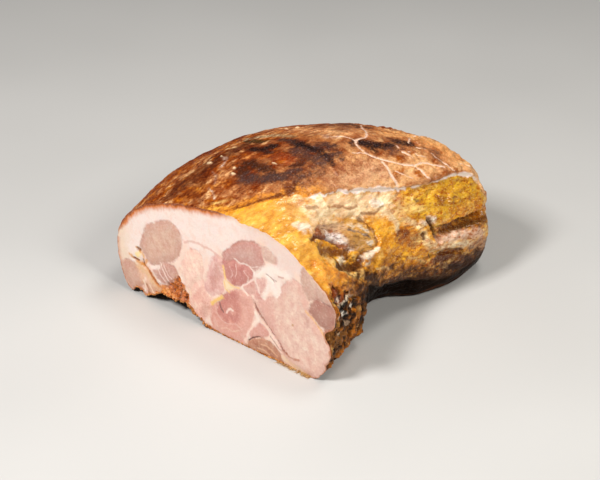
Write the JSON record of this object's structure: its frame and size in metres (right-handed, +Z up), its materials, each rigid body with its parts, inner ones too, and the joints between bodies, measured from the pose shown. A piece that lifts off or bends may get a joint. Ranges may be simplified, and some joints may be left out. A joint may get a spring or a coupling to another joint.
{
  "type": "cooked ham",
  "caption": "Large boneless cooked ham, cut straight across at one end, with a browned smoked rind on top and trimmed fat along its sides.",
  "frame": {"origin": "bottom centre of the ham's box, on the surface that it rests on", "axes": "+X along the cut face, +Y away from the cut face towards the rounded butt end, +Z up"},
  "size_m": [0.248, 0.25, 0.1325],
  "materials": {
    "smoked_rind": "browned smoked rind with darker burnt patches and pale cracks, slightly greasy",
    "smoked_fat": "yellow smoked fat and browned lean meat, lumpy and torn, with a soft greasy shine",
    "cut_meat": "freshly cut moist pink muscles with pale fat and white seams between them",
    "underside_meat": "browned lean meat and fat of the boned side, creased where it lies on its support"
  },
  "bodies": {
    "root": {"ham": "smoked_rind"}
  },
  "joints": []
}
